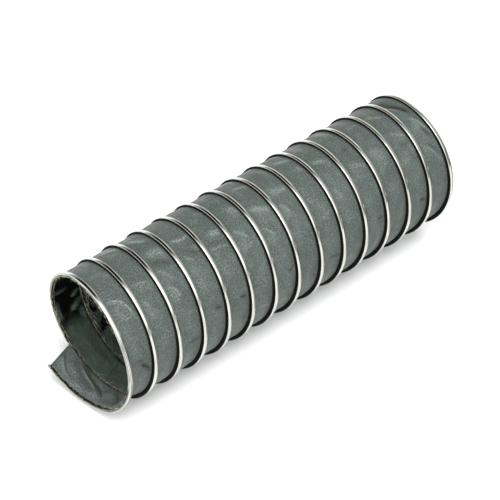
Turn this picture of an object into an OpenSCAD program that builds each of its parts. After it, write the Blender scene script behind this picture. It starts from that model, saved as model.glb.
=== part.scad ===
// Fume extraction hose: one strip of coated fabric, wound into a tube, with the
// strip's two edges gripped all the way round by a bright roll-formed channel.
// The hose lies on its side: +X runs from the end with the loose flap to the far
// end, +Z is up. Origin: middle of the hose's length, on the floor under its axis.

/* [Hose] */
// Clear bore of the fabric tube (mm)
bore_d = 160; // [100:5:250]
// Distance from one coil of the channel to the next (mm)
pitch = 36; // [24:1:50]
// Whole turns of the fabric strip
turns = 14; // [3:1:16]
// Thickness of the coated fabric (mm)
wall_t = 0.8; // [0.6:0.1:2]

/* [Clamping channel] */
// Width of the channel across its shoulders (mm)
channel_w = 5.0; // [4.5:0.1:9]
// How far the channel stands out from the fabric (mm)
channel_h = 3.6; // [3:0.1:6]
// Width of the slot that grips the two strip edges (mm)
slot_w = 1.8; // [1.6:0.1:2.4]
// Depth of that slot (mm)
slot_h = 2.4; // [1.5:0.1:2.4]

/* [Cut ends] */
// Steps past the top, 10 degrees each, at which the strip is cut square across
cut_steps = 22; // [0:1:35]

/* [Hidden] */
seg = 36;                                   // rings in one turn, 10 degrees apart
bore_r = bore_d / 2;
skin_r = bore_r + wall_t;                   // outside of the fabric
// flats of the many-sided coil touch the round fabric at their middles
seat_r = skin_r / cos(180 / seg);
crest_r = seat_r + channel_h;               // the hose lies on these crests
t0 = -cut_steps / seg;                      // coil's start, in turns from the top
t1 = t0 + turns + 1;                        // coil's end
mid = (t0 + t1) / 2;
n_rings = (turns + 1) * seg;

// Left-hand helix: point at t turns, radius r, shifted u along the axis
function hx(t) = pitch * (t - mid);
function coil_pt(t, r, u) = [hx(t) + u, r * sin(360 * t), crest_r + r * cos(360 * t)];

// Half section of the channel: [along the axis, out from the fabric]
w = channel_w / 2;
section = [
    [-0.84 * w, 0], [-w, 0.66 * channel_h], [-0.72 * w, channel_h],
    [0.72 * w, channel_h], [w, 0.66 * channel_h], [0.84 * w, 0],
    [slot_w / 2, 0], [slot_w / 2, slot_h], [-slot_w / 2, slot_h], [-slot_w / 2, 0]
];
m = len(section);
// The section's end face, in pieces with no inward corner
face = [[0, 1, 8, 9], [8, 1, 2], [8, 2, 3], [8, 3, 7], [7, 3, 4], [4, 5, 6, 7]];
function back(l) = [for (j = [len(l) - 1:-1:0]) l[j]];

// Everything nearer than the strip's edge, over half a turn from ta, or beyond it
module end_ramp(ta, beyond) {
    k = seg / 2;
    lim = beyond ? hx(t1) + 20 : hx(t0) - 20;
    ri = bore_r - 6;
    ro = skin_r + 6;
    pts = [for (i = [0:k], c = [0:3]) let (
            t = ta + i / seg,
            r = (c == 0 || c == 3) ? ri : ro,
            x = c < 2 ? lim : hx(t))
        [x, r * sin(360 * t), crest_r + r * cos(360 * t)]];
    f = concat(
        [[0, 1, 2, 3]],
        [for (i = [0:k - 1], c = [0:3]) let (a = 4 * i + c, b = 4 * i + (c + 1) % 4)
            each [[a, a + 4, b + 4], [a, b + 4, b]]],
        [[4 * k + 3, 4 * k + 2, 4 * k + 1, 4 * k]]);
    polyhedron(points = pts,
        faces = beyond ? [for (q = f) back(q)] : f, convexity = 4);
}

// Fabric tube; each end follows the strip's edge and steps back where it was cut
module fabric_strip() color([0.42, 0.44, 0.43]) {
    difference() {
        translate([0, 0, crest_r]) rotate([0, 90, 0])
            difference() {
                cylinder(h = hx(t1) - hx(t0), r = skin_r, center = true, $fn = 144);
                cylinder(h = hx(t1) - hx(t0) + 2, r = bore_r, center = true, $fn = 144);
            }
        end_ramp(t0, false);
        end_ramp(t0 + 0.5, false);
        end_ramp(t1 - 1, true);
        end_ramp(t1 - 0.5, true);
    }
}

// One unbroken roll-formed channel, wound round the fabric
module clamp_channel() color([0.80, 0.81, 0.79]) {
    pts = [for (i = [0:n_rings], s = section)
        coil_pt(t0 + i / seg, seat_r + s[1], s[0])];
    side = [for (i = [0:n_rings - 1], j = [0:m - 1])
        let (a = i * m + j, b = i * m + (j + 1) % m)
        each [[a, b + m, b], [a, a + m, b + m]]];
    polyhedron(points = pts, convexity = 20,
        faces = concat(side, face, [for (q = face) back([for (j = q) n_rings * m + j])]));
}

fabric_strip();
clamp_channel();
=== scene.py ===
import math

import bpy
import numpy as np
from mathutils import Matrix, Vector


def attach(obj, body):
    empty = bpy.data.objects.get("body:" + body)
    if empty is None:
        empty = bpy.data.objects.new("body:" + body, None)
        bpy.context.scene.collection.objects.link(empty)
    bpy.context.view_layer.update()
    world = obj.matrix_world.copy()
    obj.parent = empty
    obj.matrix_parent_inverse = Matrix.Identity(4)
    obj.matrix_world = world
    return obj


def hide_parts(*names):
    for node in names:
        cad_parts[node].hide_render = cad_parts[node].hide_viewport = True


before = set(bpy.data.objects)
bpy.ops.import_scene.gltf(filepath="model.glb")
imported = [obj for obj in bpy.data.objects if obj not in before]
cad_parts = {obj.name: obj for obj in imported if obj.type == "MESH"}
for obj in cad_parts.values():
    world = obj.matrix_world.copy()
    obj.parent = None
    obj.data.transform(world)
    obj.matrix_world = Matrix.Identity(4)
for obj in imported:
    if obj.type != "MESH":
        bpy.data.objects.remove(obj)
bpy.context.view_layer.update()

rng = np.random.default_rng(71)

# ---------------------------------------------------------------- the hose, in millimetres
PITCH = 36.0          # one coil to the next
MID = 62 / 9          # turn at x = 0
SEAT = 81.1086        # radius the channel sits on
AXIS = 84.7086        # height of the hose's axis
T0 = -22 / 36         # the channel's first and last turn
T1 = T0 + 15
S1 = T1 - 1           # the strip's last turn


def lerp_table(points, blur):
    """A smooth function of the turn from (turn, value) pairs."""
    xs, ys = np.array(points, float).T
    grid = np.arange(xs[0] - 0.2, xs[-1] + 0.2, 0.004)
    k = np.exp(-0.5 * (np.arange(-40, 41) * 0.004 / blur) ** 2)
    fine = np.interp(grid, xs, ys)
    fine = np.convolve(np.pad(fine, 40, mode="edge"), k / k.sum(), "valid")
    return lambda t: np.interp(t, grid, fine)


# How the loose first half turn and the far coil stray from a true helix.
tail_x = lerp_table([(-0.75, 0.0), (-0.596, -0.3), (-0.55, -0.1), (-0.51, 0.0), (-0.47, 0.6), (-0.437, 0.9),
                     (-0.396, 0.2), (-0.35, 0.4), (-0.31, 1.2), (-0.264, 1.2), (-0.222, 0.4), (-0.18, -0.6), (-0.139, -1.1),
                     (-0.097, -1.1), (-0.056, -1.0), (-0.014, -0.6), (0.028, -0.5), (0.09, 0), (0.2, 0)], 0.012)
tail_r = lerp_table([(-0.75, -1.2), (-0.596, -1.4), (-0.55, -3.9), (-0.51, -3.3), (-0.47, -3.4), (-0.437, -2.4),
                     (-0.396, -0.3), (-0.35, 0), (0.2, 0)], 0.012)
far_x = lerp_table([(13.6, 0), (13.78, 0), (13.85, -0.9), (13.90, -2.0), (13.95, -3.6), (14.0, -4.4), (14.05, -4.6),
                    (14.1, -4.4), (14.2, -3.5), (14.45, -3.0)], 0.014)


def dev_x(t):
    t = np.asarray(t, float)
    sway = 0.16 * np.sin(2 * np.pi * (0.83 * t + 0.11)) + 0.10 * np.sin(2 * np.pi * (2.31 * t + 0.4))
    return np.where(t < 0.2, tail_x(t), 0) + np.where(t > 13.6, far_x(t), 0) + sway


def dev_r(t):
    t = np.asarray(t, float)
    sway = -0.14 + 0.08 * np.sin(2 * np.pi * (1.37 * t + 0.2)) + 0.06 * np.sin(2 * np.pi * (3.1 * t + 0.7))
    return np.where(t < 0.2, tail_r(t), 0) + sway


def place(x, r, t):
    a = 2 * np.pi * t
    return np.stack([x, r * np.sin(a), AXIS + r * np.cos(a)], -1)


def make_mesh(name, verts, faces, mats=(), mat_index=None, smooth=True, attributes=()):
    me = bpy.data.meshes.new(name)
    me.from_pydata((np.asarray(verts) * 0.001).tolist(), [], faces)
    for m in mats:
        me.materials.append(m)
    if mat_index is not None:
        me.polygons.foreach_set("material_index", np.asarray(mat_index, np.int32))
    me.polygons.foreach_set("use_smooth", np.full(len(me.polygons), smooth))
    for key, kind, values in attributes:
        a = me.attributes.new(key, kind, "POINT")
        field = {"FLOAT": "value", "FLOAT_VECTOR": "vector", "FLOAT_COLOR": "color"}[kind]
        a.data.foreach_set(field, np.asarray(values, np.float32).ravel())
    me.validate()
    me.update()
    ob = bpy.data.objects.new(name, me)
    bpy.context.scene.collection.objects.link(ob)
    return ob


# ---------------------------------------------------------------- materials
class Nodes:
    """A short way to write a material's nodes."""

    def __init__(self, owner):
        owner.use_nodes = True
        self.tree = owner.node_tree
        self.tree.nodes.clear()

    def add(self, kind, inputs=None, **props):
        n = self.tree.nodes.new(kind)
        for k, v in props.items():
            setattr(n, k, v)
        for k, v in (inputs or {}).items():
            if isinstance(v, bpy.types.NodeSocket):
                self.tree.links.new(v, n.inputs[k])
            else:
                n.inputs[k].default_value = v
        return n

    def math(self, op, a, b=0.0, c=0.0, clamp=False):
        n = self.add("ShaderNodeMath", {0: a, 1: b, 2: c}, operation=op, use_clamp=clamp)
        return n.outputs[0]

    def ramp(self, x, lo, hi, a=0.0, b=1.0, smooth=True):
        n = self.add("ShaderNodeMapRange", {0: x, 1: lo, 2: hi, 3: a, 4: b},
                     interpolation_type="SMOOTHSTEP" if smooth else "LINEAR")
        return n.outputs[0]

    def mix(self, fac, a, b, blend="MIX"):
        n = self.add("ShaderNodeMix", {0: fac, 6: a, 7: b}, data_type="RGBA", blend_type=blend)
        return n.outputs[2]

    def attribute(self, name, out="Vector"):
        return self.add("ShaderNodeAttribute", attribute_name=name).outputs[out]

    def noise(self, vector, scale, detail=2.0, rough=0.5, distortion=0.0):
        n = self.add("ShaderNodeTexNoise", {"Vector": vector, "Scale": scale, "Detail": detail,
                                            "Roughness": rough, "Distortion": distortion})
        return n.outputs["Fac"]

    def scaled(self, vector, sx, sy, sz):
        return self.add("ShaderNodeVectorMath", {0: vector, 1: (sx, sy, sz)}, operation="MULTIPLY").outputs[0]

    def bump(self, height, strength, distance, normal=None):
        ins = {"Height": height, "Strength": strength, "Distance": distance}
        if normal is not None:
            ins["Normal"] = normal
        return self.add("ShaderNodeBump", ins).outputs[0]

    def output(self, shader):
        self.add("ShaderNodeOutputMaterial", {0: shader})


def weave(n, cloth, p):
    """Height of a plain weave of thread pitch p (mm), 0 to 1, over the cloth's own coordinates."""
    sep = n.add("ShaderNodeSeparateXYZ", {0: cloth})
    sx = n.math("SINE", n.math("MULTIPLY", sep.outputs[0], math.pi / p))
    sy = n.math("SINE", n.math("MULTIPLY", sep.outputs[1], math.pi / p))
    over = n.math("GREATER_THAN", n.math("MULTIPLY", sx, sy), 0.0)
    warp, weft = n.math("ABSOLUTE", sx), n.math("ABSOLUTE", sy)
    return n.math("ADD", n.math("MULTIPLY", over, warp), n.math("MULTIPLY", n.math("SUBTRACT", 1.0, over), weft))


def fabric_material(name, base, pale, dark, rough, inner=False, specular=0.25, sheen=0.07):
    m = bpy.data.materials.new(name)
    n = Nodes(m)
    cloth = n.attribute("cloth")
    mark = n.add("ShaderNodeSeparateXYZ", {0: n.attribute("marks")})     # gap, crease, painted shade: the gap is painted shadow outside and a dark joint inside, the crease a painted highlight
    gap, crease, painted_shade = mark.outputs[0], mark.outputs[1], mark.outputs[2]
    line = n.add("ShaderNodeSeparateXYZ", {0: n.attribute("line")})      # mm from a crease's ridge, its strength
    off = n.math("ABSOLUTE", line.outputs[0])
    ridge = n.math("MULTIPLY", n.ramp(off, 0.0, 2.1, 1.0, 0.0), line.outputs[1])
    # Painted shade on one side of each pale crease.
    flank = n.math("MULTIPLY", n.ramp(line.outputs[0], -4.6, -2.2), n.ramp(line.outputs[0], -1.8, -0.5, 1.0, 0.0))
    flank = n.math("MULTIPLY", flank, n.math("MAXIMUM", line.outputs[1], 0.0))
    thread = weave(n, cloth, 1.2)
    broad = n.noise(n.scaled(cloth, 1, 1, 1), 0.018, 3, 0.55)
    patch = n.noise(n.scaled(cloth, 1, 1.2, 1), 0.075, 4, 0.6, 0.6)
    grain = n.noise(n.scaled(cloth, 1, 1, 1), 0.50, 1, 0.5)
    fleck = n.noise(n.scaled(cloth, 1, 1, 1), 0.85, 1, 0.5)
    streak = n.noise(n.scaled(cloth, 0.05, 1.0, 1), 0.55, 2, 0.5)
    col = n.mix(n.ramp(patch, 0.34, 0.68), base, pale)
    col = n.mix(n.ramp(broad, 0.35, 0.7, 0.0, 0.45), col, dark)
    col = n.mix(n.math("MULTIPLY", n.ramp(streak, 0.4, 0.7), 0.14), col, pale)
    # Painted highlight along the creases and over the broad soft places.
    crease_highlight = n.math("MULTIPLY", crease, n.ramp(grain, 0.34, 0.6, 0.78, 1.0))
    col = n.mix(n.math("MULTIPLY", crease_highlight, 0.62, clamp=True), col, (0.179, 0.214, 0.203, 1))
    # Painted highlight on the crease ridges, stronger inside.
    sharp = n.math("MULTIPLY", n.math("MAXIMUM", ridge, 0.0), n.ramp(grain, 0.30, 0.6, 0.8, 1.0))
    col = n.mix(n.math("MULTIPLY", sharp, 0.22 if not inner else 0.40, clamp=True), col, (0.179, 0.214, 0.203, 1))
    # Painted shade beside the pale creases.
    col = n.mix(n.math("MULTIPLY", flank, 0.60, clamp=True), col, tuple(0.62 * v for v in dark[:3]) + (1,))
    # Painted shade along the dark fold ridges.
    fold = n.math("MULTIPLY", n.math("MAXIMUM", n.math("MULTIPLY", ridge, -1.0), 0.0), 0.85, clamp=True)
    col = n.mix(fold, col, (0.016, 0.0186, 0.017, 1))
    # The yarns themselves: paler where they stand up, as painted light, and more so over the creases' painted
    # highlights.
    deep = n.math("ADD", 0.44, n.math("ADD", n.ramp(patch, 0.4, 0.65, 0.0, 0.22), n.math("MULTIPLY", crease, 0.12)))
    yarn = n.math("ADD", n.ramp(grain, 0.36, 0.64, -0.6, 0.6, False), n.ramp(fleck, 0.34, 0.66, -0.55, 0.55, False))
    yarn = n.math("ADD", yarn, n.math("SUBTRACT", thread, 0.62))
    lit = n.math("ADD", 1.0, n.math("MULTIPLY", n.math("MULTIPLY", deep, yarn), n.ramp(broad, 0.3, 0.7, 0.75, 1.15)))
    col = n.add("ShaderNodeVectorMath", {0: col, "Scale": lit}, operation="SCALE").outputs[0]
    if inner:      # painted shade inside: a mottled greenish darkening first, then near black
        mottle = n.noise(n.scaled(cloth, 1, 1.6, 1), 0.055, 3, 0.6, 0.8)
        col = n.mix(n.ramp(painted_shade, 0.0, 0.6), col, n.mix(n.ramp(mottle, 0.34, 0.66), (0.047, 0.066, 0.051, 1), (0.070, 0.096, 0.075, 1)))
        col = n.mix(n.ramp(painted_shade, 0.55, 1.0), col, (0.0025, 0.0032, 0.0025, 1))
    else:
        # Painted shade outside: along the dark folds, and darker low down in front.
        col = n.mix(painted_shade, col, (0.0215, 0.0236, 0.020, 1))
    # Painted shadow of the channel on the cloth outside; inside, the dark joint of the seam.
    col = n.mix(gap, col, (0.004, 0.004, 0.004, 1))
    rgh = n.math("ADD", n.ramp(patch, 0.3, 0.7, rough + 0.06, rough - 0.08), n.math("MULTIPLY", gap, 0.4))
    rgh = n.math("SUBTRACT", rgh, n.math("MULTIPLY", crease, 0.08), clamp=True)
    if inner:
        rgh = n.math("ADD", rgh, n.math("MULTIPLY", n.ramp(painted_shade, 0.5, 1.0), 0.5), clamp=True)
    crumple = n.noise(n.scaled(cloth, 1, 1, 1), 0.11, 3, 0.55, 0.8)
    nrm = n.bump(crumple, 0.5, 0.0012 if not inner else 0.002)
    nrm = n.bump(n.math("MULTIPLY", n.ramp(off, 0.0, 2.6, 1.0, 0.0), line.outputs[1]), 0.6, 0.0011, nrm)
    nrm = n.bump(thread, 0.45, 0.00012, nrm)
    nrm = n.bump(grain, 0.5, 0.00022, nrm)
    b = n.add("ShaderNodeBsdfPrincipled", {"Base Color": col, "Roughness": rgh, "Normal": nrm,
                                           "Specular IOR Level": specular, "IOR": 1.48,
                                           "Sheen Weight": sheen, "Sheen Roughness": 0.45})
    n.output(b.outputs[0])
    return m


outer_mat = fabric_material("coated_fabric_outer", (0.0562, 0.0696, 0.0652, 1), (0.0738, 0.0905, 0.0846, 1),
                            (0.044, 0.056, 0.0515, 1), 0.52, sheen=0.035)
inner_mat = fabric_material("coated_fabric_inner", (0.0985, 0.113, 0.1085, 1), (0.118, 0.134, 0.130, 1),
                            (0.0785, 0.0915, 0.0865, 1), 0.46, inner=True, sheen=0.07)
# The outer cloth without gloss, for faces in the channel's painted shadow.
gap_shade_mat = fabric_material("coated_fabric_gap_shade", (0.0562, 0.0696, 0.0652, 1), (0.0738, 0.0905, 0.0846, 1),
                            (0.044, 0.056, 0.0515, 1), 0.75, specular=0.05, sheen=0.0)
# The inner cloth without gloss, for faces in the deepest painted shade.
inner_shade_mat = fabric_material("coated_fabric_inner_shade", (0.0985, 0.113, 0.1085, 1), (0.118, 0.134, 0.130, 1),
                           (0.0785, 0.0915, 0.0865, 1), 0.6, inner=True, specular=0.05, sheen=0.0)


def edge_material():
    m = bpy.data.materials.new("raw_edge")
    n = Nodes(m)
    cloth = n.attribute("cloth")
    f = n.noise(n.scaled(cloth, 1, 1, 1), 0.8, 3, 0.6)
    col = n.mix(n.ramp(f, 0.35, 0.65), (0.054, 0.040, 0.023, 1), (0.22, 0.175, 0.11, 1))
    nrm = n.bump(n.noise(n.scaled(cloth, 1, 1, 1), 2.2, 2), 0.8, 0.0004)
    b = n.add("ShaderNodeBsdfPrincipled", {"Base Color": col, "Roughness": 0.85, "Normal": nrm})
    n.output(b.outputs[0])
    return m


edge_mat = edge_material()


def steel_material():
    m = bpy.data.materials.new("channel_steel")
    n = Nodes(m)
    run = n.attribute("run")           # mm along the channel, mm round its section
    painted_dark = n.attribute("painted_dark", "Fac")
    fine = n.noise(n.scaled(run, 0.02, 3.0, 1), 1.0, 3, 0.6)      # rolling lines
    dull = n.noise(n.scaled(run, 0.05, 0.25, 1), 1.0, 3, 0.6)
    spots = n.noise(n.scaled(run, 0.45, 0.6, 1), 1.0, 4, 0.7)
    col = n.mix(n.ramp(dull, 0.35, 0.7), (0.548, 0.570, 0.530, 1), (0.435, 0.452, 0.410, 1))
    col = n.mix(n.math("MULTIPLY", n.ramp(spots, 0.58, 0.75), 0.35), col, (0.24, 0.23, 0.185, 1))
    # Painted shade and painted dark reflection: near black on the lower walls and in the dark bands of the channel.
    col = n.mix(painted_dark, col, (0.006, 0.006, 0.005, 1))
    rgh = n.math("ADD", n.ramp(dull, 0.3, 0.7, 0.07, 0.12), n.math("MULTIPLY", n.ramp(fine, 0.4, 0.7), 0.03))
    rgh = n.math("ADD", rgh, n.math("MULTIPLY", painted_dark, 0.5), clamp=True)
    nrm = n.bump(fine, 0.2, 0.00001)
    nrm = n.bump(n.noise(n.scaled(run, 0.12, 0.30, 1), 1.0, 2, 0.5), 0.3, 0.00004, nrm)
    metal = n.math("SUBTRACT", 1.0, n.math("MULTIPLY", painted_dark, 0.95))
    b = n.add("ShaderNodeBsdfPrincipled", {"Base Color": col, "Roughness": rgh, "Normal": nrm, "Metallic": metal})
    n.output(b.outputs[0])
    return m


steel_mat = steel_material()


def wall_material():
    """The channel's lower walls, painted near black as shade."""
    m = bpy.data.materials.new("channel_wall")
    n = Nodes(m)
    run = n.attribute("run")
    f = n.noise(n.scaled(run, 0.3, 1.2, 1), 1.0, 3, 0.6)
    col = n.mix(n.ramp(f, 0.4, 0.7), (0.004, 0.004, 0.004, 1), (0.014, 0.014, 0.012, 1))
    b = n.add("ShaderNodeBsdfPrincipled", {"Base Color": col, "Roughness": n.ramp(f, 0.3, 0.7, 0.6, 0.8),
                                           "Specular IOR Level": 0.12,
                                           "Normal": n.bump(f, 0.5, 0.0001)})
    n.output(b.outputs[0])
    return m


wall_mat = wall_material()

# ---------------------------------------------------------------- the fabric strip
# Half of the cross profile, from inside the channel's slot to the middle: distance from the channel, radius.
HALF = [(0.42, 83.0), (0.42, 81.3), (0.66, 80.62), (1.4, 80.24), (2.6, 80.16), (4.2, 80.26), (6.4, 80.36),
        (8.8, 80.43), (11.2, 80.47), (13.4, 80.48), (15.4, 80.50), (17.1, 80.51)]
PROFILE = np.array(HALF + [(PITCH - u, r) for u, r in HALF[::-1]])
ARC = 1.4085           # mm round the hose for one degree


def smooth01(x):
    x = np.clip(x, 0, 1)
    return x * x * (3 - 2 * x)


def bell(d, width):
    return np.exp(-(d / width) ** 2)


# Creases of the outside, as (panel, width mm, paleness, height mm, line of (degrees from the top towards
# the front, mm from the panel's near channel)). Paleness is a painted highlight; below 0 it is painted shade in a dark
# fold.
CREASES = [
    (0, 1.7, 1.00, 0.45, [(21.5, 8), (22.5, 14), (24, 19), (27, 23), (32, 26), (37, 28.5), (41, 29)]),
    (0, 1.6, 0.45, 0.20, [(22, 9), (22.5, 13), (24, 18)]),
    (0, 1.5, 0.35, 0.20, [(41, 28), (40.5, 20), (39.5, 11)]),
    (0, 2.0, 0.22, 0.15, [(-5, 29), (-5.5, 18), (-6, 8)]), (0, 2.2, 0.3, 0.2, [(-3, 25), (2, 31)]),
    (0, 1.7, -0.9, -0.5, [(93, 35), (88, 29.5), (84, 24.5), (80.5, 18)]), (0, 2.0, -0.35, -0.3, [(79, 25), (77, 18), (76, 9)]),
    (1, 2.6, 0.55, 0.35, [(-30.5, 9), (-28, 18), (-25, 26), (-22, 32)]), (1, 2.2, 0.2, 0.1, [(-16, 12), (-18, 26)]),
    (1, 1.9, 0.5, 0.35, [(19.5, 6), (20, 12), (20.5, 18), (22, 25), (23, 31)]),
    (1, 1.8, 0.5, 0.3, [(35, 9), (38, 13), (43, 15.5)]), (1, 2.5, 0.2, 0.1, [(28, 31), (26, 22), (25, 15)]),
    (1, 2.0, 0.18, 0.1, [(67, 27), (62, 20), (57, 11)]),
    (2, 1.9, 0.55, 0.35, [(-23, 9), (-20, 14), (-16, 20), (-13.5, 25)]), (2, 2.0, 0.25, 0.1, [(-16, 29), (-13.5, 24)]),
    (2, 4.2, 0.42, 0.3, [(2, 9), (3, 18), (5, 26), (6.5, 33)]), (2, 3.0, -0.28, -0.3, [(11.5, 9), (12.5, 19), (16, 26), (19, 32)]),
    (2, 2.2, 0.42, 0.3, [(19, 8), (22, 14), (26, 18), (31, 20)]),
    (2, 2.2, 0.55, 0.3, [(34, 7), (36, 13), (40, 17), (45, 18), (48.5, 11)]),
    (2, 1.7, -0.35, -0.3, [(88, 34), (88.5, 26), (87, 15)]), (2, 2.2, 0.15, 0.1, [(84, 8), (85, 20)]),
    (3, 1.9, 0.55, 0.35, [(1.5, 8), (3.5, 14), (5, 20), (4.5, 27), (3, 34)]), (3, 2.2, 0.4, 0.2, [(15.5, 28), (18, 34)]),
    (3, 2.8, -0.42, -0.4, [(23, 32), (19, 23), (15, 15)]), (3, 2.2, 0.35, 0.3, [(20, 9), (23, 14), (27, 18.5)]),
    (3, 1.9, -0.42, -0.4, [(73, 34), (71.5, 28), (70, 20)]), (3, 2.6, 0.18, 0.1, [(69, 9), (70, 15), (74, 20)]),
    (4, 2.2, 0.28, 0.2, [(-11.5, 22), (-9, 33)]), (4, 2.2, 0.15, 0.1, [(-5, 10), (-6, 22)]),
    (4, 2.8, 0.55, 0.35, [(13.5, 16), (15, 25), (15.5, 34)]), (4, 2.8, -0.28, -0.3, [(21.5, 8), (22.5, 16), (23.5, 26)]),
    (4, 1.6, 0.6, 0.35, [(28.6, 34), (28.2, 24), (27.2, 13), (26.5, 6)]),
    (4, 1.9, -0.55, -0.4, [(75, 34), (74.5, 28), (73, 21)]), (4, 2.2, -0.25, -0.2, [(98, 31), (95, 23)]),
    (5, 3.6, 0.45, 0.3, [(0.5, 20), (4, 26), (8.5, 34)]), (5, 2.4, 0.5, 0.35, [(21.5, 8), (25, 15), (29, 20), (34, 24.5)]),
    (5, 2.0, 0.4, 0.25, [(37, 27), (39, 18), (41, 7)]), (5, 1.8, -0.15, -0.15, [(53, 28), (57, 17)]),
    (5, 2.2, 0.25, 0.2, [(64, 11), (66, 18), (70, 23), (77, 25)]), (5, 2.0, 0.28, 0.2, [(95, 7), (94.5, 18), (97, 30)]),
    (6, 3.0, 0.4, 0.3, [(-35, 9), (-33, 20), (-30, 31)]), (6, 1.8, 0.45, 0.3, [(-15, 12), (-13.5, 24), (-12, 33)]),
    (6, 2.6, 0.5, 0.35, [(12.5, 7), (14, 14), (16.5, 20), (19, 27), (20.5, 34)]),
    (6, 2.4, 0.45, 0.3, [(31.5, 7), (35, 13), (38, 17), (42, 20)]), (6, 2.4, 0.22, 0.15, [(59, 17), (62, 25)]),
    (6, 1.6, -0.5, -0.4, [(73.5, 32), (76.5, 23)]), (6, 2.0, 0.25, 0.2, [(91.5, 7), (92, 16), (94.5, 23)]),
    (7, 2.8, 0.3, 0.2, [(-21, 26), (-13, 31)]), (7, 3.4, 0.45, 0.3, [(10, 34), (10.5, 24), (9, 16), (5.5, 9)]),
    (7, 2.0, 0.55, 0.35, [(21.5, 7), (24, 12), (28, 15), (33, 16)]), (7, 2.0, 0.3, 0.2, [(33.5, 15), (36.5, 7)]),
    (7, 1.6, -0.25, -0.2, [(53.5, 28), (56, 19)]), (7, 2.2, -0.2, -0.2, [(97, 32), (93, 22)]),
    (8, 3.0, 0.4, 0.3, [(-37, 18), (-30, 29)]), (8, 1.9, 0.5, 0.35, [(-20.5, 8), (-18, 14), (-15, 22), (-13, 31)]),
    (8, 2.8, 0.38, 0.2, [(1, 34), (2, 28), (-0.5, 23)]), (8, 2.2, 0.42, 0.3, [(46.5, 28), (49.5, 22), (50, 14)]),
    (8, 1.7, -0.3, -0.3, [(89.5, 32), (87.5, 22), (87, 13)]),
    (9, 2.2, 0.28, 0.2, [(-20, 10), (-19, 21)]), (9, 2.0, 0.5, 0.3, [(3.5, 10), (5, 18), (7, 26)]),
    (9, 1.9, 0.6, 0.3, [(24, 27), (24.5, 33)]), (9, 2.2, 0.35, 0.25, [(32.5, 9), (36, 14), (41, 17), (45, 13)]),
    (10, 2.8, 0.4, 0.3, [(-31, 17), (-24, 22), (-17, 27)]), (10, 2.4, 0.45, 0.3, [(21.5, 12), (24, 20), (27, 26), (29.5, 33)]),
    (10, 1.8, -0.28, -0.2, [(6.5, 25), (8.5, 18)]), (10, 2.0, 0.2, 0.1, [(36, 12), (37, 27)]),
    (10, 1.7, -0.4, -0.35, [(77.5, 34), (77, 23)]), (10, 2.0, -0.2, -0.2, [(47, 33), (42, 26), (38, 22)]),
    (11, 2.2, 0.18, 0.1, [(-12, 9), (-12, 29)]), (11, 3.6, 0.42, 0.3, [(20, 9), (22, 16), (25, 22), (30, 27)]),
    (11, 2.0, 0.35, 0.2, [(31, 28), (31, 19)]), (11, 2.8, 0.32, 0.2, [(34, 25), (37, 17), (44, 9)]),
    (11, 1.8, -0.3, -0.3, [(94, 11), (98, 12)]), (11, 2.0, -0.25, -0.2, [(104, 27), (101, 16)]),
    (12, 2.0, 0.32, 0.2, [(-11.5, 7), (-8, 16), (-3, 26)]), (12, 2.8, 0.5, 0.35, [(15.5, 12), (18, 20), (21, 28), (23, 34)]),
    (12, 2.6, -0.38, -0.4, [(28, 31), (30.5, 25), (27, 17)]), (12, 2.0, 0.38, 0.25, [(32, 28), (39, 33)]),
    (12, 1.8, -0.55, -0.45, [(88, 34), (84.5, 29), (82, 22)]),
    (13, 3.4, -0.75, -0.8, [(-27, 11), (-15, 14), (-10, 18), (-2, 24), (5, 30)]),
    (13, 2.4, 0.3, 0.3, [(-10, 9), (-5, 14), (3, 21)]),
    (13, 2.0, 0.7, 0.6, [(10.5, 17), (14, 23), (20, 27), (28, 30), (36, 33)]),
    (13, 1.6, -0.65, -0.5, [(24, 23), (31, 27.5), (36, 31)]),
    (13, 2.0, 0.35, 0.3, [(36.5, 9), (42, 15), (48, 22), (56, 27), (64, 32)]),
    (13, 2.2, -0.25, -0.3, [(37, 15), (45, 25), (52, 30)]), (13, 1.6, -0.35, -0.2, [(61, 26), (63, 25)]),
]
# Broad soft places with a painted highlight: (panel, degrees, mm, half width in degrees, half width in mm, paleness)
PATCHES = [
    (0, 34, 15, 9, 7, 0.22), (0, 51, 10, 5, 5, 0.30), (0, 65, 14, 8, 8, 0.14), (1, 48, 13, 4, 6, 0.42),
    (1, 41, 11, 7, 5, 0.25), (1, 71, 17, 5, 8, 0.2), (2, 41, 11, 7, 5, 0.42), (2, 26, 12, 5, 5, 0.2), (2, 60, 14, 7, 8, 0.15),
    (3, 48, 14, 5, 7, 0.34), (3, 34, 12, 4, 5, 0.28), (3, 78, 28, 4, 4, 0.2), (3, 28, 27, 4, 6, 0.15),
    (4, 40, 30, 4, 5, 0.22), (4, 46, 13, 6, 7, 0.3), (5, 34, 14, 6, 6, 0.26), (5, 60, 26, 8, 8, 0.2), (5, 8, 27, 4, 6, 0.25),
    (6, 44, 14, 5, 6, 0.48), (6, 25, 22, 6, 8, 0.15), (6, 68, 14, 7, 8, 0.12), (7, 55, 12, 8, 6, 0.14), (7, 29, 10, 5, 4, 0.25),
    (8, 20, 10, 3, 3, 0.4), (8, 32, 10, 3, 4, 0.36), (8, 42, 20, 7, 9, 0.32), (8, 70, 18, 8, 8, 0.12),
    (9, 11, 28, 4, 6, 0.34), (9, 35, 28, 5, 6, 0.18), (9, 41, 13, 5, 6, 0.28), (9, 60, 16, 5, 8, 0.24),
    (10, 58, 12, 5, 5, 0.2), (10, 30, 16, 6, 8, 0.12), (11, 27, 16, 5, 7, 0.3), (11, 58, 18, 5, 7, 0.3),
    (12, 43, 14, 6, 6, 0.3), (12, 62, 20, 4, 4, 0.2), (12, 24, 18, 4, 7, 0.2), (13, 20, 20, 6, 5, 0.42), (13, 44, 14, 5, 5, 0.2),
]
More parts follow.
